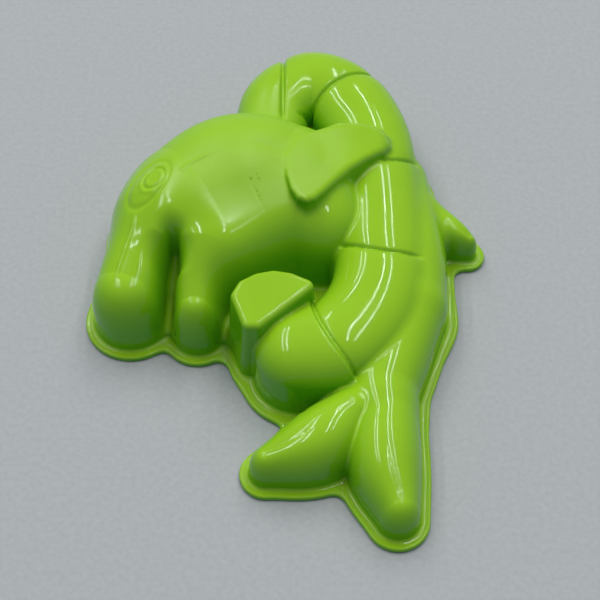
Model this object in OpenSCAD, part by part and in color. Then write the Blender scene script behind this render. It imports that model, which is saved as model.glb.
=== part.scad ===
// Hollow relief mould of a dolphin swimming through a life ring.
// It lies open side down: the rim is on the ground and the relief points up.
// The moulding is divided into its natural forms, which meet face to face.

/* [Moulding] */
// Thickness of the walls
wall = 1.2; // [0.8:0.1:1.6]
// How far the rim stands out past the walls
rim_w = 2; // [1.4:0.1:2.6]
// Thickness of the rim
rim_t = 1.2; // [0.8:0.1:2]
// Slope of the walls, outwards per unit of depth
draft = 0.05; // [0.02:0.01:0.08]

/* [Dolphin] */
// Height of the top of the head
head_h = 28; // [26:0.5:30]
// Height of the end of the beak
beak_h = 18; // [16:0.5:20]
// Height of the end of the lower jaw
jaw_h = 17; // [15:0.5:18]
// Height of the back, beside the ring
back_h = 15; // [13:0.5:17]
// Height of the tail and the flukes
tail_h = 13; // [11:0.5:14]
// Width of the mouth between beak and jaw
mouth_w = 1.8; // [1.4:0.1:2.4]

/* [Life ring] */
// Height of the ring
ring_h = 18.5; // [17:0.5:20]
// Radius of the ring's tube
tube_r = 9.5; // [9:0.1:10]
// Width of the grooves between the ring's cushions
groove_w = 1; // [0.6:0.1:1.6]
// Depth of the grooves
groove_d = 0.6; // [0.3:0.1:0.7]

/* [Hidden] */
green = [0.5, 0.72, 0.12];
round_n = 24;
dome_steps = 6;
// Above 2, a dome is fuller than a half ellipse.
dome_power = 2.3;
// Posts laid between one listed post and the next.
steps = 2;
// Reach of a block that cuts the ring's tube off at a groove.
reach = 40;
// Radius that softens the notches in the rim's edge.
notch_r = 1.5;

// Each form is a row of posts: [x, y, radius, shoulder height, top height].
HEAD = [[-22, 14.8, 19.2, 2, head_h - 1.5], [-13, 20.8, 19.7, 3, head_h], [-3, 21, 17, 4, head_h - 2]];
BEAK = [[-30, 10, 10, 5, beak_h + 5], [-33.5, 1, 8.6, 6, beak_h + 2], [-35.8, -5.8, 8, 6, beak_h]];
JAW = [[-20.5, 1, 6, 6, jaw_h + 3], [-21.5, -4, 5.6, 6, jaw_h + 1.5], [-21.6, -10, 5.3, 6, jaw_h]];
CHEST = [[-14, 8, 9, 6, head_h - 6], [-4, 12, 9, 6, head_h - 6.5], [4, 14, 9, 6, head_h - 10]];
BACK = [[19.5, 26, 9.5, 6, back_h], [21.6, 8, 9.6, 6, back_h], [21.2, -6, 9.5, 6, back_h]];
TAIL = [[21.2, -6, 9.5, 6, back_h], [18.2, -18, 8.6, 5, tail_h + 1], [15.8, -29, 7.4, 4, tail_h]];
FIN = [[28, 18, 4.5, 3, back_h - 4], [33.5, 13.2, 3.6, 3, back_h - 5], [37, 10.8, 1.9, 3, back_h - 7]];
RIGHT = [[15.5, -31, 7, 4, tail_h], [17, -41, 7, 4, tail_h], [18.5, -53, 4.4, 3, tail_h - 2]];
LEFT = [[12.5, -35, 5.5, 4, tail_h], [4, -40, 5.9, 4, tail_h], [-6, -42.2, 3.8, 3, tail_h - 2]];
// The low web closes the creases between the head, the ring and the lower flipper.
WEB = [[-14, -9, 4, 4, 8], [-8, -2, 6.5, 4, 8], [3, -5, 9, 4, 8], [8, 30, 8, 4, 8], [2, 42, 9.5, 4, 8]];

// The ring's tube goes clockwise, seen from above: [x, y, change of radius].
RING_LINE = [
    [-7.5, 36, -1.5], [-5.8, 47.5, -1.3], [2.5, 53.8, -1.1], [11, 49.2, -0.7], [16, 37.6, -0.3], [17, 22, 0],
    [17.2, 8, 0.1], [16.3, -5, 0.1], [12.5, -14, -0.1], [6, -19, -0.4], [-0.5, -20.2, -0.9]
];
RING = [for (p = RING_LINE) [p[0], p[1], tube_r + p[2], ring_h - 7.5, ring_h]];
// The grooves between cushions: [x, y, angle of the line across the tube, height where it begins].
GROOVES = [[-3.4, 50, 90, 9], [10.5, 46.8, 52, 9], [17.3, 25.5, 0, 9], [17, 0.5, 0, 9], [7.5, -18, -65, 12]];
// The first and last post of each cushion's stretch of RING, with room to spare.
STRETCHES = [[0, 2], [0, 4], [2, 6], [4, 8], [6, 10], [8, 10]];

// How far the rim's edge is from a post's middle.
function rim_r(post) = post[2] + draft * post[3] + rim_w;
// The middle of the outline, which moves onto the origin.
middle = [
    (BEAK[2][0] - rim_r(BEAK[2]) + FIN[2][0] + rim_r(FIN[2])) / 2,
    (RIGHT[2][1] - rim_r(RIGHT[2]) + RING[2][1] + rim_r(RING[2])) / 2
];

// Plan of each flipper.
UPPER_FLIPPER = [
    [-3.2, 19], [-2.8, 14], [-1.5, 10], [0.9, 7.2], [4.2, 9.4], [10.5, 18.2],
    [18.2, 26], [19, 29], [17.6, 32], [14, 33], [8, 32], [1, 27]
];
LOWER_FLIPPER = [
    [-13.6, -12.3], [-11.8, -9.6], [-9, -7.9], [-5.5, -7.2], [-1.8, -7.9], [2.4, -10.2],
    [-8.1, -19.6], [-11.4, -19.4]
];
// The line of the mouth, from its corner to the front.
MOUTH = [[-26.3, 7.5], [-26.4, 3], [-27, -2], [-28.2, -18]];
// The middle of the eye, and the way it leans and turns.
EYE = [-31.7, 12, 23.4];
EYE_TURN = [0, -22, 25];

// Where two forms overlap, the wall belongs to the earlier one.
FORMS = [
    "upper_flipper", "lower_flipper", "ring", "eye", "head_dome", "upper_beak", "lower_jaw", "chest",
    "back", "tail_stock", "dorsal_fin", "right_fluke", "left_fluke", "crease_web"
];

// The posts listed for each form that is a row of posts.
function row(name) =
    name == "ring" ? RING
    : name == "head_dome" ? HEAD
    : name == "upper_beak" ? BEAK
    : name == "lower_jaw" ? JAW
    : name == "chest" ? CHEST
    : name == "back" ? BACK
    : name == "tail_stock" ? TAIL
    : name == "dorsal_fin" ? FIN
    : name == "right_fluke" ? RIGHT
    : name == "left_fluke" ? LEFT
    : WEB;

// The plan of each form that is a flat-topped block, or nothing.
function block(name) =
    name == "upper_flipper" ? UPPER_FLIPPER
    : name == "lower_flipper" ? LOWER_FLIPPER
    : undef;

// The height of a block's top.
function block_h(name) = name == "upper_flipper" ? ring_h + 4.5 : ring_h + 0.5;

// A point on the smooth line from b to c.
function between(a, b, c, d, t) =
    b + t * (c - a) / 2 + t * t * (2 * a - 5 * b + 4 * c - d) / 2 + t * t * t * (3 * (b - c) + d - a) / 2;

// Posts on the smooth line from post i to post j.
function smooth(row, i, j) = [
    for (k = [i:j - 1], step = [0:steps - 1])
        between(row[max(k - 1, 0)], row[k], row[k + 1], row[min(k + 2, len(row) - 1)], step / steps),
    row[j]
];

// All the posts of a form.
function posts(name) = smooth(row(name), 0, len(row(name)) - 1);

// The corners of the strip that joins two circles along their shared tangents.
function strip(a, b) =
    let (d = b[0] - a[0], turn = atan2(d[1], d[0]), tilt = acos((a[1] - b[1]) / norm(d)))
        [for (c = [[a, turn + tilt], [b, turn + tilt], [b, turn - tilt], [a, turn - tilt]])
            c[0][0] + c[0][1] * [cos(c[1]), sin(c[1])]];

// The hollow's forms start below the ground, and the walls on top of the rim.
function foot(inset) = inset < wall ? rim_t : -1;

// A round column with sloping walls and a domed top.
module post(p, inset) {
    r = p[2] - inset;
    dome_h = p[4] - inset - p[3];
    translate([p[0], p[1], 0])
        rotate_extrude($fn = round_n)
            polygon(concat(
                [[0, foot(inset)], [r + draft * (p[3] - foot(inset)), foot(inset)]],
                [
                    for (i = [0:dome_steps])
                        let (a = 90 * i / dome_steps)
                            [r * pow(cos(a), 2 / dome_power), p[3] + dome_h * pow(sin(a), 2 / dome_power)]
                ]
            ));
}

// A row of posts, filled in from each to the next.
module loaf(row, inset) {
    for (i = [0:len(row) - 2])
        hull() {
            post(row[i], inset);
            post(row[i + 1], inset);
        }
}

// A flat-topped block with sloping walls and a softened upper edge.
module slab(plan, top, inset) {
    edge = 0.8;
    skin = 0.1;
    levels = [
        [foot(inset), draft * (top - foot(inset)) - inset],
        [top - inset - edge, -inset],
        [top - inset - skin, -inset - edge]
    ];
    hull()
        for (level = levels)
            translate([0, 0, level[0]])
                linear_extrude(skin)
                    offset(delta = level[1])
                        polygon(plan);
}

// The raised ring and pupil of the eye, which are solid.
module eye_relief() {
    translate(EYE)
        rotate(EYE_TURN)
            scale([1, 0.7, 1]) {
                rotate_extrude($fn = round_n)
                    translate([3.6, 0])
                        circle(0.8, $fn = 8);
                sphere(1.6, $fn = round_n);
            }
}

// Everything further along the ring than a groove.
module past(groove) {
    translate([groove[0], groove[1], 0])
        rotate(groove[2])
            translate([-reach, -2 * reach, -reach])
                cube(2 * reach);
}

// One cushion's stretch of the ring's tube, from groove to groove.
module cushion_tube(k, inset) {
    difference() {
        intersection() {
            loaf(smooth(RING, STRETCHES[k][0], STRETCHES[k][1]), inset);
            if (k > 0)
                past(GROOVES[k - 1]);
        }
        if (k < len(GROOVES))
            past(GROOVES[k]);
    }
}

// A slice across the ring, as wide as a groove.
module slice(groove) {
    translate([groove[0], groove[1], groove[3]])
        rotate(groove[2])
            translate([-reach, -groove_w / 2, 0])
                cube([2 * reach, groove_w, ring_h]);
}

// One cushion, thinned where it meets its neighbours.
module cushion(k) {
    difference() {
        cushion_tube(k, 0);
        difference() {
            for (i = [max(k - 1, 0):min(k, len(GROOVES) - 1)])
                slice(GROOVES[i]);
            cushion_tube(k, groove_d);
        }
    }
}

// The shape of a form, or of its hollow when inset is the wall's thickness.
module form(name, inset) {
    solid = inset < wall;
    if (name == "eye") {
        if (solid)
            eye_relief();
    } else if (name == "ring" && solid)
        for (k = [0:len(GROOVES)])
            cushion(k);
    else if (block(name) == undef)
        loaf(posts(name), inset);
    else
        slab(block(name), block_h(name), inset);
}

// The slot between beak and jaw; its corner is shallow and its front is open.
module mouth(grow) {
    for (i = [0:len(MOUTH) - 2])
        hull()
            for (p = [MOUTH[i], MOUTH[i + 1]])
                translate([p[0], p[1], (i == 0 ? jaw_h - 7 : rim_t + wall) - grow])
                    cylinder(h = head_h, r1 = mouth_w / 2 + grow, r2 = mouth_w + grow, $fn = round_n);
}

// The inside of the whole moulding.
module hollow() {
    difference() {
        for (name = FORMS)
            form(name, wall);
        mouth(wall);
    }
}

// A form's share of the moulding: its walls, outside the forms that come before it.
module share(name) {
    before = search([name], FORMS)[0];
    translate([-middle[0], -middle[1], 0])
        difference() {
            children();
            if (before > 0)
                for (i = [0:before - 1])
                    form(FORMS[i], 0);
            mouth(0);
            hollow();
        }
}

module ring_cushion(k) color(green) share("ring") cushion(k);

// Where the walls meet the ground.
module outline() {
    for (name = FORMS)
        if (block(name) != undef)
            offset(delta = draft * block_h(name))
                polygon(block(name));
        else if (name != "eye") {
            feet = [for (p = posts(name)) [[p[0], p[1]], p[2] + draft * p[3]]];
            for (f = feet)
                translate(f[0])
                    circle(f[1], $fn = round_n);
            for (i = [0:len(feet) - 2])
                polygon(strip(feet[i], feet[i + 1]));
        }
}

module rim_flange() {
    color(green)
        translate([-middle[0], -middle[1], 0])
            linear_extrude(rim_t)
                difference() {
                    offset(r = -notch_r)
                        offset(r = rim_w + notch_r)
                            outline();
                    offset(delta = -wall)
                        outline();
                }
}

module head_dome() color(green) share("head_dome") form("head_dome", 0);
module eye() color(green) share("eye") form("eye", 0);
module upper_beak() color(green) share("upper_beak") form("upper_beak", 0);
module lower_jaw() color(green) share("lower_jaw") form("lower_jaw", 0);
module chest() color(green) share("chest") form("chest", 0);
module upper_flipper() color(green) share("upper_flipper") form("upper_flipper", 0);
module lower_flipper() color(green) share("lower_flipper") form("lower_flipper", 0);
module back() color(green) share("back") form("back", 0);
module tail_stock() color(green) share("tail_stock") form("tail_stock", 0);
module dorsal_fin() color(green) share("dorsal_fin") form("dorsal_fin", 0);
module right_fluke() color(green) share("right_fluke") form("right_fluke", 0);
module left_fluke() color(green) share("left_fluke") form("left_fluke", 0);
module crease_web() color(green) share("crease_web") form("crease_web", 0);

rim_flange();
head_dome();
eye();
upper_beak();
lower_jaw();
chest();
upper_flipper();
lower_flipper();
back();
tail_stock();
dorsal_fin();
right_fluke();
left_fluke();
crease_web();
for (k = [0:5])
    ring_cushion(k);
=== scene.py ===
"""A hollow relief mould of a dolphin swimming through a life ring, open side down.

Its outer surface is one smooth field of blended round forms. The field is turned into a skin, the skin
is divided where two forms are equally near, and each share becomes a closed shell of the wall's
thickness. The rim is swept round the foot of the walls. Shapes are worked out in millimetres.
"""

import math

import bpy
import numpy as np
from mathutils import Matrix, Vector


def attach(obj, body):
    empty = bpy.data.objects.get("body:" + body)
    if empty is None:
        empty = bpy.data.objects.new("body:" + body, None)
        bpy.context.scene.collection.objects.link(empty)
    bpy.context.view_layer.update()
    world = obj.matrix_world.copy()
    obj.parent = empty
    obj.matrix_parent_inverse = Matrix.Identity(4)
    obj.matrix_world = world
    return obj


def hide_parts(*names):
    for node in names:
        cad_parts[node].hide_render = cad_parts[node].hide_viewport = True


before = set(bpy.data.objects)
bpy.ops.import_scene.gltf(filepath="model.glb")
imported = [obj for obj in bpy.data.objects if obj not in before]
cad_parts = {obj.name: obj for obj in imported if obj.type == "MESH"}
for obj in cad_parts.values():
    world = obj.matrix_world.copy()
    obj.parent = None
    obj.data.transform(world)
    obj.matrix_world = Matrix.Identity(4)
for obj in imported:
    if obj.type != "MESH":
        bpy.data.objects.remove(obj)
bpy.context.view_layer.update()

MM = 0.001

# ---------------------------------------------------------------------------------------------------
# Driving sizes, in millimetres
# ---------------------------------------------------------------------------------------------------

WALL = 1.2
RIM_W = 2.0
RIM_T = 1.2
# Height at which the walls rise out of the fillet on the rim.
FOOT = RIM_T + 0.7
DRAFT = 0.05
RING_TOP = 18.5
RING_SHOULDER = 11.0
RING_FULLNESS = 2.1
WEB_FULLNESS = 2.2
# The tops of the flippers are leaning planes: this is the lower one's height at y = -14, and the
# upper one's at x = -2.5. The upper one widens below its knee.
LOWER_FLIPPER_TOP = 19
UPPER_FLIPPER_TOP = 26.0
UPPER_FLIPPER_KNEE = 23
# The skin starts as cells of this size, which are halved once it has settled.
CELL = 0.84
# What the grid of cells reaches over.
GRID_X = (-48.0, 44.0)
GRID_Y = (-62.0, 64.0)
GRID_TOP = 29
# Where the nearest place on a line is looked for: tries in each span, and rounds of closing in.
TRIES = 4
NEARING_ROUNDS = 4
# The forms are drawn about a point beside the middle of the outline; this moves it onto the origin.
MIDDLE = np.array([-2.525, 2.6, 0.0])

# The middle of the duller patch on the head, in metres, and the distances over which it fades.
DULL_PLACE = (-0.009, 0.024, 0.026)
DULL_FADE = (0.014, 0.026)

# Each loaf is a row of round posts, [x, y, radius, shoulder height, top height], and its fullness.
LOAVES = {
    "head_dome": ([[-22, 14.8, 19.2, 2, 26.5], [-13, 20.8, 19.7, 3, 28], [-3, 21, 17, 4, 25.6]], 2.2),
    "upper_beak": ([[-30, 10, 10, 5, 23], [-33.5, 1, 8.6, 6, 20], [-35.8, -5.8, 8.0, 5, 17.6]], 2.4),
    "lower_jaw": ([[-20.5, 1, 6.4, 6, 20.5], [-21.3, -4, 5.9, 5, 18.5], [-21.6, -10, 5.3, 3, 15.5]], 2.3),
    "chest": ([[-15.5, 3.5, 9, 6, 22.5], [-4, 11, 10, 6, 22.5], [5, 11.5, 10.2, 6, 20.5]], 2.3),
    "back": ([[19.5, 26, 9.5, 6, 15], [21.8, 8, 9.8, 6, 15.5], [21.5, -6, 9.6, 6, 15]], 2.2),
    "tail_stock": ([[21.5, -6, 9.6, 6, 15], [18.4, -18, 8.7, 5, 14], [15.8, -29, 7.4, 4, 13]], 2.2),
    "dorsal_fin": ([[28, 18, 4.5, 3, 11], [33.5, 13.4, 3.6, 3, 10], [37.0, 11.3, 1.9, 3, 8]], 2.2),
    "right_fluke": ([[17.4, -31, 6.6, 4, 13], [16.6, -42, 7.5, 4, 13.5], [19, -53, 4.4, 3, 10.5]], 2.1),
    "left_fluke": ([[9.8, -33, 5.8, 4, 13], [3.6, -38.6, 7.1, 4, 13.2], [-6.7, -42.9, 3.4, 3, 9.5]], 2.1),
}
# The low floors of the creases beside the ring: two rows of posts.
WEBS = [
    [[-14, -9, 4, 2, 5], [-8, -2, 6.5, 2, 4], [3, -5, 9, 2, 3.5]],
    [[8, 30, 8, 3, 9], [5, 41, 8, 3, 9]],
]
# The tube of the life ring, clockwise from above: [x, y, radius, fall of its top].
RING = [
    [-7.0, 37.5, 7.8, 0], [-4.7, 46.9, 8.8, 0], [2.6, 52.2, 9.6, 0], [10.1, 48.0, 9.8, 0],
    [15.4, 37, 9.5, 0], [16.9, 22, 9.4, 0], [17.2, 8, 9.6, 0], [16.2, -5, 9.7, 0.2],
    [12.1, -13.6, 9.8, 0.5], [5.8, -18.6, 9.9, 0.8], [-0.5, -20.1, 8.8, 1.2],
]
# The grooves between its cushions: [x, y, angle of the line across the tube, how far it bows, how far
# the lip of the next cushion stands up].
GROOVES = [
    [-3.9, 50, 90, 0, 0], [10.5, 48, 35, -1.5, 0.15], [17.3, 28, 0, 3.5, 0.3], [16.4, 2.8, -14, 2.6, 0.3],
    [6.6, -18.2, -63, 2, 0.9],
]
GROOVE_DEPTH = 0.8
GROOVE_WIDTH = 0.5
# A groove runs this far to each side of the tube's middle, and then fades out.
GROOVE_REACH = 14
GROOVE_FADE = 3
# Half the width over which a groove's bow is measured.
BOW_HALF_WIDTH = 9.5
# How far from its groove a lip dies away.
LIP_REACH = 3.0
# The rounding of a cushion's ends, beside its grooves.
PAD_DEPTH = 0.3
PAD_WIDTH = 2.2

UPPER_FLIPPER = [
    [-3.2, 19], [-3.0, 14], [-2.0, 10.4], [-0.6, 8.2], [1.4, 7.6], [3.2, 8.6], [5.2, 11.0], [7.8, 14.6],
    [10.6, 18.4], [14.2, 22.2], [17.8, 25.4], [19.3, 27.6], [19.2, 30], [17.6, 32], [14, 33], [8, 32],
    [1, 27],
]
# This outline is drawn inside the real one, by the roundness of its corners.
LOWER_FLIPPER = [
    [-12.5, -11.9], [-11.3, -9.5], [-8.6, -7.9], [-5.4, -7.2], [-2.1, -7.8], [1.2, -9.4],
    [-8.6, -18.0], [-10.2, -18.0],
]
CORNER = 1.5
# The mouth's slot: [x, y, half width, height of its floor, how far its sides lean out, and the
# roundness of its shoulders].
MOUTH = [
    [-26.3, 2.0, 0.7, 11.5, 0.08, 2.6], [-26.6, -0.2, 0.9, 9.5, 0.1, 3.8], [-26.9, -2.4, 0.9, 8, 0.1, 3.8],
    [-27.3, -4.8, 0.6, 6, 0.05, 3.2], [-27.5, -9, 0.4, 5, 0.05, 2.5], [-27.6, -18, 0.4, 4.5, 0.05, 1.8],
]

CUSHIONS = [f"ring_cushion_{k + 1}" for k in range(len(GROOVES) + 1)]
# The order of the parts, which is the order of the columns where their fields are compared.
PARTS = [*LOAVES, "crease_web", "upper_flipper", "lower_flipper", *CUSHIONS, "eye"]

# ---------------------------------------------------------------------------------------------------
# Field arithmetic: a field is negative inside a form and about the distance to its surface outside
# ---------------------------------------------------------------------------------------------------


def smooth_min(a, b, k):
    """The union of two fields, with a fillet about k wide."""
    h = np.maximum(k - np.abs(a - b), 0) / k
    return np.minimum(a, b) - h * h * k / 4


def smooth_max(a, b, k):
    """What two fields share, with a rounded edge about k wide."""
    return -smooth_min(-a, -b, k)


def curve(rows):
    """A smooth line through the rows, as the coefficients of one cubic for each span."""
    s = np.asarray(rows, float)
    p = np.vstack([2 * s[0] - s[1], s, 2 * s[-1] - s[-2]])
    a, b, c, d = p[:-3], p[1:-2], p[2:-1], p[3:]
    cubics = [b, (c - a) / 2, (2 * a - 5 * b + 4 * c - d) / 2, (3 * (b - c) + d - a) / 2]
    return np.stack(cubics).astype(np.float32)


def on_curve(spans, u):
    """The line's row of values at u spans from its start, with its first and second slopes."""
    k = np.clip(u.astype(int), 0, spans.shape[1] - 1)
    t = (u - k)[..., None]
    c0, c1, c2, c3 = spans[:, k]
    return c0 + t * (c1 + t * (c2 + t * c3)), c1 + t * (2 * c2 + 3 * t * c3), 2 * c2 + 6 * t * c3


def along(spans, x, y):
    """Distance from the nearest place on a line, the line's other values there, and how far along it is.

    The nearest place is the one whose round reaches furthest towards the point.
    """
    count = spans.shape[1]
    tries = np.linspace(0, count, TRIES * count + 1, dtype=np.float32)
    row = on_curve(spans, tries)[0]
    score = np.hypot(x[..., None] - row[:, 0], y[..., None] - row[:, 1]) - row[:, 2]
    u = tries[score.argmin(-1)]
    for _ in range(NEARING_ROUNDS):
        here, slope, bend = on_curve(spans, u)
        wx, wy = x - here[..., 0], y - here[..., 1]
        speed = slope[..., 0] ** 2 + slope[..., 1] ** 2
        pull = wx * slope[..., 0] + wy * slope[..., 1] + slope[..., 2] * np.hypot(wx, wy)
        stiffness = speed - wx * bend[..., 0] - wy * bend[..., 1]
        u = np.clip(u + np.clip(pull / np.maximum(stiffness, 0.3 * speed), -0.3, 0.3), 0, count)
    here = on_curve(spans, u)[0]
    return np.hypot(x - here[..., 0], y - here[..., 1]), np.moveaxis(here[..., 2:], -1, 0), u / count


def outline_distance(corners, x, y):
    """Signed distance to a closed outline, negative inside."""
    c = np.asarray(corners, float)
    gap = np.full(x.shape, np.inf)
    inside = np.zeros(x.shape, bool)
    for a, b in zip(c, np.roll(c, -1, 0)):
        e = b - a
        wx, wy = x - a[0], y - a[1]
        t = np.clip((wx * e[0] + wy * e[1]) / (e @ e), 0, 1)
        gap = np.minimum(gap, np.hypot(wx - e[0] * t, wy - e[1] * t))
        turn = e[0] * wy - e[1] * wx
        inside ^= ((a[1] <= y) & (b[1] > y) & (turn > 0)) | ((a[1] > y) & (b[1] <= y) & (turn < 0))
    return np.where(inside, -gap, gap)


def dome(rho, r, shoulder, top, z, fullness):
    """A round-topped wall: it slopes a little up to its shoulder, and a superellipse closes it."""
    rise = np.maximum(top - shoulder, 0.5)
    a = rho / r
    v = np.maximum(z - shoulder, 0) / rise
    g = (a**fullness + v**fullness) ** (1 / fullness) + 1e-9
    slope_a = g ** (1 - fullness) * a ** (fullness - 1) / r
    slope_v = g ** (1 - fullness) * v ** (fullness - 1) / rise
    f = (g - 1) / np.sqrt(slope_a**2 + slope_v**2 + 1e-12)
    return f - DRAFT * np.maximum(shoulder - z, 0)


def bump(distance, width):
    """1 where the distance is 0, dying away over the width."""
    return np.exp(-((distance / width) ** 2))


def across(groove, x, y):
    """How far past a groove a point is, along the ring, and how far it is from the tube's middle."""
    gx, gy, angle, bow = groove[:4]
    c, s = math.cos(math.radians(angle)), math.sin(math.radians(angle))
    side = (x - gx) * c + (y - gy) * s
    past = (x - gx) * s - (y - gy) * c
    return past - bow * (1 - np.minimum((side / BOW_HALF_WIDTH) ** 2, 1.2)), side


# ---------------------------------------------------------------------------------------------------
# The dolphin and its ring
# ---------------------------------------------------------------------------------------------------

LINES = {name: curve(rows) for name, (rows, _) in LOAVES.items()}
WEB_LINES = [curve(rows) for rows in WEBS]
RING_CURVE = curve(RING)
MOUTH_CURVE = curve(MOUTH)

# The points that the fine raised lines on the head run through.
BROW = [[-25.0, 14.2], [-24.1, 15.3], [-22.4, 16.6], [-20.5, 17.6], [-17.9, 18.6]]
BEAK_EDGE = [[-34.1, 7.2], [-34.9, 3.4], [-36.0, -0.4], [-37.2, -4.2], [-38.0, -7.6]]
# The eye's outline and the ring inside it: [x, y, half length, half width, turn in degrees].
EYE = (-31.7, 13.0, 6.0, 3.7, 60)
EYE_RING = (-30.5, 13.6, 2.7, 2.1, 60)


def stroke(points, x, y, width):
    """1 on a fine line, falling to 0 beside it and past its ends."""
    line = curve([[*p, 0] for p in points])
    rho, _, share = along(line, x, y)
    return bump(rho, width) * np.clip(share * 6, 0, 1) * np.clip((1 - share) * 4, 0, 1)


def oval(shape, x, y):
    """0 in the middle of an oval, and 1 on its edge."""
    cx, cy, half_length, half_width, turn = shape
    c, s = math.cos(math.radians(turn)), math.sin(math.radians(turn))
    u = (x - cx) * c + (y - cy) * s
    v = (y - cy) * c - (x - cx) * s
    return np.hypot(u / half_length, v / half_width)


def head_relief(x, y):
    """How far the eye and the fine lines stand out of the head."""
    edge = oval(EYE, x, y)
    ring = oval(EYE_RING, x, y)
    relief = -0.2 * bump(edge - 1, 0.12)
    relief += 0.12 * bump(ring - 1.3, 0.2)
    relief -= 0.15 * bump(ring - 1.0, 0.15)
    relief += 0.1 * bump(ring - 0.7, 0.2)
    relief += 0.2 * stroke(BROW, x, y, 0.4)
    relief += 0.2 * stroke(BEAK_EDGE, x, y, 0.45)
    return relief


def plan(x, y):
    """Everything that depends only on the place on the ground."""
    x, y = x.astype(np.float32), y.astype(np.float32)
    p = {name: along(line, x, y) for name, line in LINES.items()}
    p["webs"] = [along(line, x, y) for line in WEB_LINES]
    p["ring"] = along(RING_CURVE, x, y)
    p["mouth"] = along(MOUTH_CURVE, x, y)
    p["beak_side"] = 0.5 - 0.5 * np.tanh(x + 26.8 - 0.08 * y)
    p["grooves"] = [across(groove, x, y) for groove in GROOVES]
    p["upper_flipper"] = outline_distance(UPPER_FLIPPER, x, y)
    p["lower_flipper"] = outline_distance(LOWER_FLIPPER, x, y) - CORNER
    p["far_side"] = 0.5 + 0.5 * np.tanh((y - 27) / 2)
    p["relief"] = head_relief(x, y)
    p["eye"] = oval(EYE, x, y) - 1.2
    p["xy"] = x, y
    return p


def loaf(p, name, z):
    """The field of one of the LOAVES."""
    rho, (r, shoulder, top), _ = p[name]
    return dome(rho, r, shoulder, top, z, LOAVES[name][1])


def ring_tube(p, z):
    """The ring, with the grooves between its cushions."""
    rho, (r, fall), _ = p["ring"]
    f = dome(rho, r, RING_SHOULDER - fall, RING_TOP - fall, z, RING_FULLNESS)
    for (past, side), groove in zip(p["grooves"], GROOVES):
        near = np.clip((GROOVE_REACH - np.abs(side)) / GROOVE_FADE, 0, 1)
        sunk = GROOVE_DEPTH * bump(past, GROOVE_WIDTH) + PAD_DEPTH * bump(past, PAD_WIDTH)
        lip = groove[4] * np.exp(-np.abs(past) / LIP_REACH) * (0.5 + 0.5 * np.tanh(2 * past))
        f = f + near * (sunk - lip)
    return f


def mouth_slot(p, z):
    """The field of the mouth's slot, and the roundness of its shoulders, the greater on the beak's side."""
    rho, (half_width, floor, lean, roundness), _ = p["mouth"]
    slot = smooth_max(rho - half_width - lean * (z - floor), floor - z, 1.5)
    return slot, roundness * (1 + 0.4 * p["beak_side"])


def fields(p, z):
    """The field of the whole mould, and a stack with the field of each part in PARTS."""
    x, y = p["xy"]
    z = z.astype(np.float32)
    own = {name: loaf(p, name, z) for name in LOAVES}
    head = smooth_min(own["head_dome"], own["chest"], 5)
    head = smooth_min(head, own["upper_beak"], 5)
    head = smooth_min(head, own["lower_jaw"], 4) - p["relief"]
    slot, roundness = mouth_slot(p, z)
    head = smooth_max(head, -slot, roundness)
    ring = ring_tube(p, z)
    whole = smooth_min(head, ring, 1)
    tail = smooth_min(own["right_fluke"], own["left_fluke"], 0.8)
    tail = smooth_min(smooth_min(own["back"], own["tail_stock"], 0.5), tail, 2)
    tail = smooth_min(tail, own["dorsal_fin"], 2)
    whole = smooth_min(whole, tail, 1)
    low_top = z - LOWER_FLIPPER_TOP - 0.05 * (y + 14)
    low = smooth_max(p["lower_flipper"] + 0.06 * (z - LOWER_FLIPPER_TOP), low_top, 1.4)
    up_top = z - UPPER_FLIPPER_TOP + 0.25 * (x + 2.5)
    up_side = p["upper_flipper"] + 0.15 * np.minimum(z - UPPER_FLIPPER_KNEE, 0)
    up = smooth_max(up_side, up_top, 1.3 + 2 * p["far_side"])
    whole = smooth_min(smooth_min(whole, low, 0.8), up, 0.8)
    web = np.minimum(*[dome(rho, *values, z, WEB_FULLNESS) for rho, values, _ in p["webs"]])
    whole = smooth_min(whole, web, 1.5)

    own |= {"crease_web": web, "upper_flipper": up, "lower_flipper": low}
    no_groove = np.full(whole.shape, -99.0)
    behind = no_groove
    for k, name in enumerate(CUSHIONS):
        ahead = p["grooves"][k][0] if k < len(GROOVES) else no_groove
        own[name] = np.maximum(ring, np.maximum(ahead, behind))
        behind = -ahead
    own["eye"] = np.minimum(own["head_dome"], own["upper_beak"]) + 4 * p["eye"]
    return whole, np.stack([own[name] for name in PARTS])


def field_at(points):
    """What fields() gives at any points."""
    return fields(plan(points[:, 0], points[:, 1]), points[:, 2])


def slopes_at(points, step=0.02):
    """The whole field, each part's, and the slopes of both, by a small step along each axis."""
    x, y, z = points.T
    here = plan(x, y)
    whole, own = fields(here, z)
    ends = [fields(plan(x + step, y), z), fields(plan(x, y + step), z), fields(here, z + step)]
    slope = np.stack([(end[0] - whole) / step for end in ends], -1)
    own_slope = np.stack([(end[1] - own) / step for end in ends], -1)
    return whole, own, slope, own_slope


def normals_at(points, step=0.06):
    """The directions away from the surface, by steps both ways."""
    slope = slopes_at(points, step)[2] + slopes_at(points, -step)[2]
    return slope / np.linalg.norm(slope, axis=-1, keepdims=True)


# ---------------------------------------------------------------------------------------------------
# From the field to a skin of four-sided faces
# ---------------------------------------------------------------------------------------------------


def sample_grid():
    """The field at the corners of a grid of cells, whose second level is the foot of the walls."""
    xs = np.arange(*GRID_X, CELL)
    ys = np.arange(*GRID_Y, CELL)
    zs = FOOT + CELL * np.arange(-1, math.ceil((GRID_TOP - FOOT) / CELL) + 1)
    x, y = np.meshgrid(xs, ys, indexing="ij")
    p = plan(x, y)
    values = np.stack([fields(p, np.full(x.shape, z))[0] for z in zs], -1)
    return values, np.array([xs[0], ys[0], zs[0]])


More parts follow.
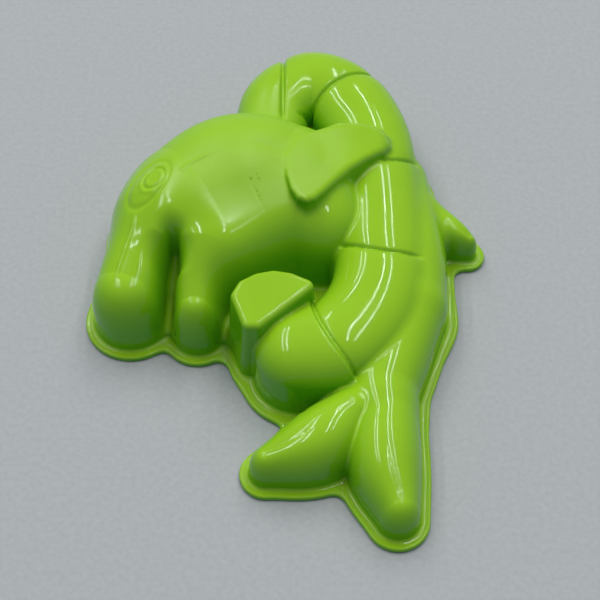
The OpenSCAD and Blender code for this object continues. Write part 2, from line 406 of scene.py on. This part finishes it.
def surface_net(values, start):
    """One point in each cell that the surface crosses, and one face round each edge that it cuts."""
    corner = [(i, j, k) for i in (0, 1) for j in (0, 1) for k in (0, 1)]
    nx, ny, nz = (n - 1 for n in values.shape)
    box = np.stack([values[i:nx + i, j:ny + j, k:nz + k] for i, j, k in corner], -1)
    count = (box < 0).sum(-1)
    crossed = (count > 0) & (count < len(corner))
    cells = np.argwhere(crossed)
    index = np.full(crossed.shape, -1)
    index[crossed] = np.arange(len(cells))
    at = box[crossed]
    place = np.zeros((len(cells), 3))
    hits = np.zeros((len(cells), 1))
    for a, from_corner in enumerate(corner):
        for b, to_corner in enumerate(corner):
            if b <= a or sum(np.abs(np.subtract(from_corner, to_corner))) != 1:
                continue
            cut = ((at[:, a] < 0) != (at[:, b] < 0))[:, None]
            t = (at[:, a] / np.where(cut[:, 0], at[:, a] - at[:, b], 1))[:, None]
            place += cut * (np.array(from_corner) + t * np.subtract(to_corner, from_corner))
            hits += cut
    points = start + CELL * (cells + place / hits)

    quads = []
    inside = values < 0
    for axis in range(3):
        one, two = (axis + 1) % 3, (axis + 2) % 3
        low = np.moveaxis(inside, axis, 0)[:-1]
        high = np.moveaxis(inside, axis, 0)[1:]
        cut = np.moveaxis(low != high, 0, axis)
        starts_inside = np.moveaxis(low, 0, axis)
        e = np.argwhere(cut)
        e = e[(e[:, one] > 0) & (e[:, two] > 0)]
        e = e[(e[:, one] < index.shape[one]) & (e[:, two] < index.shape[two])]
        if axis == 2:
            # The skin is open below the foot.
            e = e[e[:, 2] > 0]
        step_one, step_two = np.eye(3, dtype=int)[one], np.eye(3, dtype=int)[two]
        around = [e - step_one - step_two, e - step_two, e, e - step_one]
        quad = np.stack([index[tuple(c.T)] for c in around], -1)
        outward = starts_inside[tuple(e.T)]
        quads.append(np.where(outward[:, None], quad, quad[:, ::-1]))
    foot = cells[:, 2] == 0
    return points, np.vstack(quads), foot


def settle(points, foot, level=0.0, rounds=3):
    """Moves points onto the surface where the field is level. Points at the foot keep their height."""
    for _ in range(rounds):
        points[foot, 2] = FOOT
        value, _, slope, _ = slopes_at(points)
        slope[foot, 2] = 0
        step = ((value - level) / np.maximum((slope**2).sum(-1), 0.2))[:, None] * slope
        length = np.linalg.norm(step, axis=-1, keepdims=True)
        points = points - step * np.minimum(1, CELL / np.maximum(length, 1e-9))
    points[foot, 2] = FOOT
    return points


def edges_of(quads):
    """Every side of every face, as (from, to)."""
    return np.vstack([quads[:, [i, (i + 1) % 4]] for i in range(4)])


def relax(points, quads, foot, amount=0.5):
    """Evens out the faces. Points at the foot slide only along the foot."""
    sides = edges_of(quads)
    sides = sides[~foot[sides[:, 0]] | foot[sides[:, 1]]]
    total = np.zeros(points.shape)
    count = np.zeros((len(points), 1))
    np.add.at(total, sides[:, 0], points[sides[:, 1]])
    np.add.at(count, sides[:, 0], 1)
    return np.where(count > 0, points + amount * (total / np.maximum(count, 1) - points), points)


def unused_removed(points, quads, foot):
    """The points that some face uses, and the faces renumbered to match."""
    used, flat = np.unique(quads, return_inverse=True)
    return points[used], flat.reshape(quads.shape), foot[used]


def split(quads, foot, *layers):
    """Each face into four. The layers are places of the points, and the new ones start midway."""
    sides, where = np.unique(np.sort(edges_of(quads), 1), axis=0, return_inverse=True)
    middle = len(foot) + where.reshape(4, -1).T
    centre = len(foot) + len(sides) + np.arange(len(quads))
    parts = [np.stack([quads[:, i], middle[:, i], centre, middle[:, i - 1]], -1) for i in range(4)]
    foot = np.concatenate([foot, foot[sides].all(1), np.zeros(len(quads), bool)])
    layers = [np.vstack([layer, layer[sides].mean(1), layer[quads].mean(1)]) for layer in layers]
    return np.vstack(parts), foot, *layers


def owners(points, quads):
    """Which part each face belongs to."""
    own = field_at(points)[1]
    return own[:, quads].mean(-1).argmin(0)


def onto_creases(points, quads, owner, foot):
    """Moves the points between two parts onto the line where the two are equally near."""
    parts_at = np.zeros((len(points), len(PARTS)), bool)
    for corner in range(4):
        parts_at[quads[:, corner], owner] = True
    between = np.flatnonzero(parts_at.sum(1) == 2)
    pair = np.argwhere(parts_at[between])[:, 1].reshape(-1, 2)
    here = points[between]
    rows = np.arange(len(between))
    for _ in range(2):
        _, own, _, slope = slopes_at(here)
        gap = own[pair[:, 0], rows] - own[pair[:, 1], rows]
        tilt = slope[pair[:, 0], rows] - slope[pair[:, 1], rows]
        tilt[foot[between], 2] = 0
        step = (gap / np.maximum((tilt**2).sum(-1), 0.2))[:, None] * tilt
        length = np.linalg.norm(step, axis=-1, keepdims=True)
        here = here - step * np.minimum(1, 0.4 * CELL / np.maximum(length, 1e-9))
    points = points.copy()
    points[between] = here
    return points


def make_skin():
    """The outer skin, its inner side, and the part that owns each face."""
    points, quads, foot = surface_net(*sample_grid())
    points, quads, foot = unused_removed(points, quads, foot)
    points = settle(points, foot)
    for _ in range(2):
        points = settle(relax(points, quads, foot), foot, rounds=1)
    quads, foot, points = split(quads, foot, points)
    points = settle(points, foot, rounds=2)
    points = settle(relax(points, quads, foot), foot, rounds=1)
    owner = owners(points, quads)
    points = settle(onto_creases(points, quads, owner, foot), foot, rounds=1)
    outward = normals_at(points)
    outward[foot, 2] = 0
    inner = settle(points - WALL * outward, foot, -WALL, rounds=2)
    for _ in range(2):
        inner = settle(relax(inner, quads, foot, 0.4), foot, -WALL, rounds=1)
    return points, inner, quads, owner, foot


# ---------------------------------------------------------------------------------------------------
# Pieces
# ---------------------------------------------------------------------------------------------------


def add_piece(name, points, quads, normals, material, replaced):
    """A piece from points in millimetres. Corners whose normal is zero keep their face's own."""
    mesh = bpy.data.meshes.new(name)
    mesh.from_pydata(((points - MIDDLE) * MM).tolist(), [], quads.tolist())
    mesh.polygons.foreach_set("use_smooth", np.ones(len(quads), bool))
    mesh.update()
    flat = np.repeat(face_normals(points, quads), 4, 0)
    given = normals.reshape(-1, 3)
    missing = np.abs(given).sum(-1) < 1e-6
    given[missing] = flat[missing]
    mesh.normals_split_custom_set(given.tolist())
    mesh.materials.append(material)
    piece = bpy.data.objects.new(name, mesh)
    bpy.context.scene.collection.objects.link(piece)
    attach(piece, "root")
    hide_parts(replaced)
    return piece


def face_normals(points, quads):
    """The direction that each face looks in."""
    a, b, c, d = (points[quads[:, i]] for i in range(4))
    n = np.cross(c - a, d - b)
    return n / np.maximum(np.linalg.norm(n, axis=-1, keepdims=True), 1e-12)


def border(quads):
    """The sides of a patch that only one of its faces has."""
    sides = edges_of(quads)
    key = np.sort(sides, 1)
    _, first, count = np.unique(key, axis=0, return_index=True, return_counts=True)
    return sides[first[count == 1]]


def finer(outer, foot, points, inner):
    """A patch divided again, for fine relief. Its border stays, so that no gap opens beside it."""
    outer, foot, points, inner = split(outer, foot, points, inner)
    held = np.zeros((len(points), 1), bool)
    held[border(outer)] = True
    points = np.where(held, points, settle(points.copy(), foot))
    inner = np.where(held, inner, settle(inner.copy(), foot, -WALL))
    return outer, points, inner


def shell_pieces(skin, material):
    """One closed shell for each part: its outer face, its inner face, and the walls between them."""
    all_points, all_inner, all_quads, owner, all_foot = skin
    for k, name in enumerate(PARTS):
        used, flat = np.unique(all_quads[owner == k], return_inverse=True)
        outer = flat.reshape(-1, 4)
        points, inner, foot = all_points[used], all_inner[used], all_foot[used]
        if name == "eye":
            outer, points, inner = finer(outer, foot, points, inner)
        rim = border(outer)
        n = len(points)
        walls = np.stack([rim[:, 1], rim[:, 0], rim[:, 0] + n, rim[:, 1] + n], -1)
        corners = np.concatenate([
            normals_at(points)[outer],
            -normals_at(inner)[outer[:, ::-1]],
            np.zeros((len(walls), 4, 3)),
        ])
        faces = np.vstack([outer, outer[:, ::-1] + n, walls])
        add_piece(name + "_shell", np.vstack([points, inner]), faces, corners, material, name)


def ordered_loop(sides):
    """The sides of a closed border, as one ring of points."""
    follow = dict(sides.tolist())
    start = sides[0, 0]
    ring = [start]
    while follow[ring[-1]] != start:
        ring.append(follow[ring[-1]])
    return np.array(ring)


def rim_field(x, y, spread):
    """The plan field at the foot of the walls; spread softens the notches between the forms."""
    points = np.stack([x, y, np.full(x.shape, FOOT)], -1)
    whole, own = field_at(points)
    soft = own[0]
    for other in own[1:len(PARTS) - 1]:
        soft = smooth_min(soft, other, 3)
    return whole * (1 - spread) + soft * spread


def flow(ring, level, spread):
    """Moves a ring of points along the ground to where the plan field is level."""
    step = 0.02
    for _ in range(3):
        x, y = ring.T
        value = rim_field(x, y, spread) - level
        slope = np.stack([
            rim_field(x + step, y, spread) - rim_field(x - step, y, spread),
            rim_field(x, y + step, spread) - rim_field(x, y - step, spread),
        ], -1) / (2 * step)
        ring = ring - (value / np.maximum((slope**2).sum(-1), 0.3))[:, None] * slope
    return ring


# The section of the rim, from the wall's foot round to its inner side: [distance out, height].
RIM_SECTION = [
    [0, FOOT], [0.08, RIM_T + 0.4], [0.28, RIM_T + 0.12], [0.6, RIM_T], [RIM_W - 0.9, RIM_T - 0.02],
    [RIM_W - 0.55, RIM_T + 0.12], [RIM_W - 0.28, RIM_T + 0.12], [RIM_W - 0.08, RIM_T - 0.08],
    [RIM_W, RIM_T - 0.4], [RIM_W, 0.25], [RIM_W - 0.08, 0.06], [RIM_W - 0.25, 0],
]
# Where in the section the rim's flat top starts.
FLAT_RING = 3


def rim_rings(points, inner, loop):
    """The rim's rings of points, one for each point of its section and two on its inner side."""
    rings = []
    ring = points[loop, :2]
    last = 0.0
    for out, height in RIM_SECTION:
        if out > last:
            ring = flow(ring, out, min(1, out / RIM_W))
        elif out < last:
            ring = flow(ring, out, 1)
        last = out
        rings.append(np.column_stack([ring, np.full(len(ring), height)]))
    under = inner[loop].copy()
    under[:, 2] = 0
    return [*rings, under, inner[loop]]


def rim_faces(rings):
    """The faces between each ring and the next, with the last joined to the first."""
    n = len(rings[0])
    i = np.arange(n)
    j = (i + 1) % n
    faces = []
    for k in range(len(rings)):
        a, b = k * n, ((k + 1) % len(rings)) * n
        faces.append(np.stack([a + i, a + j, b + j, b + i], -1))
    faces = np.vstack(faces)
    flat_top = FLAT_RING * n
    if face_normals(np.vstack(rings), faces)[flat_top, 2] < 0:
        faces = faces[:, ::-1]
    return faces


def rim_normals(rings, foot_normals):
    """The smooth directions out of the section's rings. The two rings of the inner side stay zero."""
    smooth = np.zeros((len(rings), *rings[0].shape))
    last = len(RIM_SECTION) - 1
    for k in range(1, last + 1):
        run = rings[min(k + 1, last)] - rings[k - 1]
        side = np.roll(rings[k], -1, 0) - np.roll(rings[k], 1, 0)
        out = np.cross(side, run)
        smooth[k] = out / np.maximum(np.linalg.norm(out, axis=-1, keepdims=True), 1e-9)
    if smooth[FLAT_RING + 1, :, 2].mean() < 0:
        smooth = -smooth
    smooth[0] = foot_normals
    return smooth


def rim_piece(skin, material):
    """The rim, swept round the foot of the walls along the levels of the plan field."""
    points, inner, quads, _, _ = skin
    loop = ordered_loop(border(quads))
    rings = rim_rings(points, inner, loop)
    faces = rim_faces(rings)
    smooth = rim_normals(rings, normals_at(points[loop]))
    corners = np.zeros((len(faces), 4, 3))
    shown = np.arange(len(faces)) < (len(RIM_SECTION) - 1) * len(loop)
    corners[shown] = smooth.reshape(-1, 3)[faces[shown]]
    add_piece("rim_flange_shell", np.vstack(rings), faces, corners, material, "rim_flange")


# ---------------------------------------------------------------------------------------------------
# Materials
# ---------------------------------------------------------------------------------------------------


def node(tree, kind, inputs=None, **settings):
    """A new node. Its inputs are values, or outputs of other nodes to link."""
    n = tree.nodes.new(kind)
    for key, value in settings.items():
        setattr(n, key, value)
    for key, value in (inputs or {}).items():
        if isinstance(value, bpy.types.NodeSocket):
            tree.links.new(value, n.inputs[key])
        else:
            n.inputs[key].default_value = value
    return n


def new_material(name):
    """An empty material and its node tree."""
    material = bpy.data.materials.new(name)
    material.use_nodes = True
    tree = material.node_tree
    tree.nodes.clear()
    return material, tree


def ramp(tree, value, stops):
    """A colour that goes from stop to stop, [place, colour], as the value rises."""
    n = node(tree, "ShaderNodeValToRGB", {"Fac": value})
    elements = n.color_ramp.elements
    while len(elements) < len(stops):
        elements.new(0.5)
    for element, (place, colour) in zip(elements, stops):
        element.position = place
        element.color = (*colour, 1)
    return n.outputs["Color"]


def green_plastic():
    """Glossy green plastic with painted light and shade: painted lighter and yellower on faces that look
    up, painted darker on its steep walls, with faint flow marks.
    """
    material, tree = new_material("green_plastic")
    coordinates = node(tree, "ShaderNodeTexCoord").outputs["Object"]
    normal = node(tree, "ShaderNodeNewGeometry").outputs["Normal"]
    up = node(tree, "ShaderNodeSeparateXYZ", {0: normal}).outputs["Z"]
    # Painted light and shade: the colour follows how far each face looks up, painted lighter on tops and
    # darker on walls.
    colour = ramp(tree, up, [
        (0.0, (0.10, 0.38, 0.005)), (0.45, (0.19, 0.43, 0.008)), (0.95, (0.25, 0.46, 0.012)),
    ])
    cloud = noise(tree, coordinates, 60, 3)
    shade = ramp(tree, cloud, [(0.3, (0.93, 0.94, 0.9)), (0.7, (1.0, 1.0, 1.0))])
    colour = multiply(tree, colour, shade)
    haze = noise(tree, coordinates, 220, 4)
    rough = node(tree, "ShaderNodeMapRange", {
        "Value": haze, "From Min": 0.35, "From Max": 0.75, "To Min": 0.07, "To Max": 0.13,
    }).outputs["Result"]
    # The top of the head is duller than the rest.
    distance = node(tree, "ShaderNodeVectorMath", {0: coordinates, 1: DULL_PLACE}, operation="DISTANCE")
    away = distance.outputs["Value"]
    dull = node(tree, "ShaderNodeMapRange", {
        "Value": away, "From Min": DULL_FADE[0], "From Max": DULL_FADE[1], "To Min": 0.35, "To Max": 0,
    }).outputs["Result"]
    rough = node(tree, "ShaderNodeMath", {0: rough, 1: dull}, operation="ADD").outputs["Value"]
    wave = noise(tree, coordinates, 120, 2)
    surface = node(tree, "ShaderNodeBump", {"Height": wave, "Strength": 0.03, "Distance": 0.0003})
    shader = node(tree, "ShaderNodeBsdfPrincipled", {
        "Base Color": colour, "Roughness": rough, "Normal": surface.outputs["Normal"], "IOR": 1.41,
    })
    node(tree, "ShaderNodeOutputMaterial", {"Surface": shader.outputs["BSDF"]})
    return material


def noise(tree, coordinates, scale, detail):
    kind = "ShaderNodeTexNoise"
    return node(tree, kind, {"Vector": coordinates, "Scale": scale, "Detail": detail}).outputs["Fac"]


def multiply(tree, a, b):
    """Two colours multiplied."""
    n = node(tree, "ShaderNodeMix", data_type="RGBA", blend_type="MULTIPLY")
    n.inputs[0].default_value = 1.0
    tree.links.new(a, n.inputs[6])
    tree.links.new(b, n.inputs[7])
    return n.outputs[2]


def table_paper():
    """The pale blue-grey floor, with a fine grain."""
    material, tree = new_material("floor_paper")
    coordinates = node(tree, "ShaderNodeTexCoord").outputs["Object"]
    grain = noise(tree, coordinates, 900, 2)
    colour = ramp(tree, grain, [(0.3, (0.303, 0.316, 0.315)), (0.7, (0.333, 0.344, 0.342))])
    shader = node(tree, "ShaderNodeBsdfPrincipled", {"Base Color": colour, "Roughness": 0.7})
    node(tree, "ShaderNodeOutputMaterial", {"Surface": shader.outputs["BSDF"]})
    return material


# ---------------------------------------------------------------------------------------------------
# Floor, lights and camera
# ---------------------------------------------------------------------------------------------------


def make_floor():
    """A wide flat floor under the rim."""
    mesh = bpy.data.meshes.new("floor")
    half = 3.0
    corners = [(-half, -half, 0), (half, -half, 0), (half, half, 0), (-half, half, 0)]
    mesh.from_pydata(corners, [], [(0, 1, 2, 3)])
    mesh.materials.append(table_paper())
    floor = bpy.data.objects.new("floor", mesh)
    bpy.context.scene.collection.objects.link(floor)


def area_light(name, place, target, size, power):
    """A rectangular light that faces its target."""
    light = bpy.data.lights.new(name, "AREA")
    light.shape = "RECTANGLE"
    light.size, light.size_y = size
    light.energy = power
    lamp = bpy.data.objects.new(name, light)
    lamp.location = place
    lamp.rotation_euler = (Vector(target) - Vector(place)).to_track_quat("-Z", "Y").to_euler()
    bpy.context.scene.collection.objects.link(lamp)
    return lamp


def make_lights():
    """Two ceiling fittings of two tubes each, which run away from the viewer, and an even pale room."""
    height = 2.0
    for k, across_x in enumerate((-1.24, -0.84, 0.36, 0.84)):
        area_light(f"tube_{k}", (across_x, 1.05, height), (across_x, 1.05, 0), (0.035, 2.7), 12)
    ceiling = area_light("ceiling", (0, 1.2, 2.4), (0, 0, 0), (3.2, 2.4), 44)
    ceiling.visible_glossy = False
    world = bpy.data.worlds.new("room")
    world.use_nodes = True
    background = world.node_tree.nodes["Background"]
    background.inputs["Color"].default_value = (0.72, 0.82, 0.95, 1)
    background.inputs["Strength"].default_value = 0.35
    bpy.context.scene.world = world


def make_camera():
    """The viewpoint: straight in front, 55 degrees up, 290 mm from a point just off the middle."""
    look = Vector(-MIDDLE * MM)
    elevation, distance = math.radians(55), 0.29
    data = bpy.data.cameras.new("camera")
    data.sensor_width = 36
    data.lens = 79.8
    data.clip_start = 0.01
    camera = bpy.data.objects.new("camera", data)
    back = Vector((0, -math.cos(elevation), math.sin(elevation)))
    camera.location = look + back * distance
    camera.rotation_euler = (-back).to_track_quat("-Z", "Y").to_euler()
    bpy.context.scene.collection.objects.link(camera)
    bpy.context.scene.camera = camera


bpy.context.scene.view_settings.view_transform = "Standard"
make_camera()
make_floor()
make_lights()
green = green_plastic()
skin = make_skin()
shell_pieces(skin, green)
rim_piece(skin, green)
